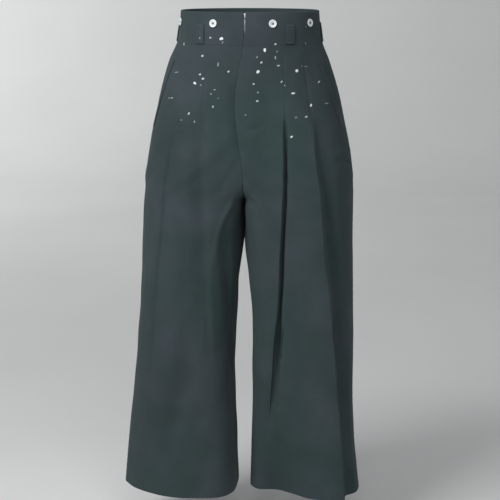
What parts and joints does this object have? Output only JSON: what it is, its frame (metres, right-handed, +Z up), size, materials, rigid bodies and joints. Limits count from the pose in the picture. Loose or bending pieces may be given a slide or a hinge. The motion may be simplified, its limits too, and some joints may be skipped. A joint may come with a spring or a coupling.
{
  "type": "baggy trousers",
  "caption": "Baggy high-waisted trousers with wide pleated legs, belt loops, brace buttons on the waistband and a front zip, hollow as worn",
  "frame": {"origin": "centre of the waist, 20 mm below the waistband's top edge", "axes": "+X is the wearer's left, +Y the back, +Z up; the front faces -Y"},
  "size_m": [0.482, 0.2661, 0.963],
  "materials": {
    "cloth": "matt fine twill",
    "zip_tape": "woven tape",
    "zip_metal": "satin nickel",
    "button": "gloss"
  },
  "bodies": {
    "root": {"front_left": "cloth", "back_left": "cloth", "waistband_left": "cloth", "belt_loop_front_left": "cloth", "belt_loop_side_left": "cloth", "pocket_edge_left": "cloth", "button_front_left": "button", "button_side_left": "button", "front_right": "cloth", "back_right": "cloth", "waistband_right": "cloth", "belt_loop_front_right": "cloth", "belt_loop_side_right": "cloth", "pocket_edge_right": "cloth", "button_front_right": "button", "button_side_right": "button", "belt_loop_back": "cloth", "zip_tape": "zip_tape", "zip_slider": "zip_metal"}
  },
  "joints": []
}
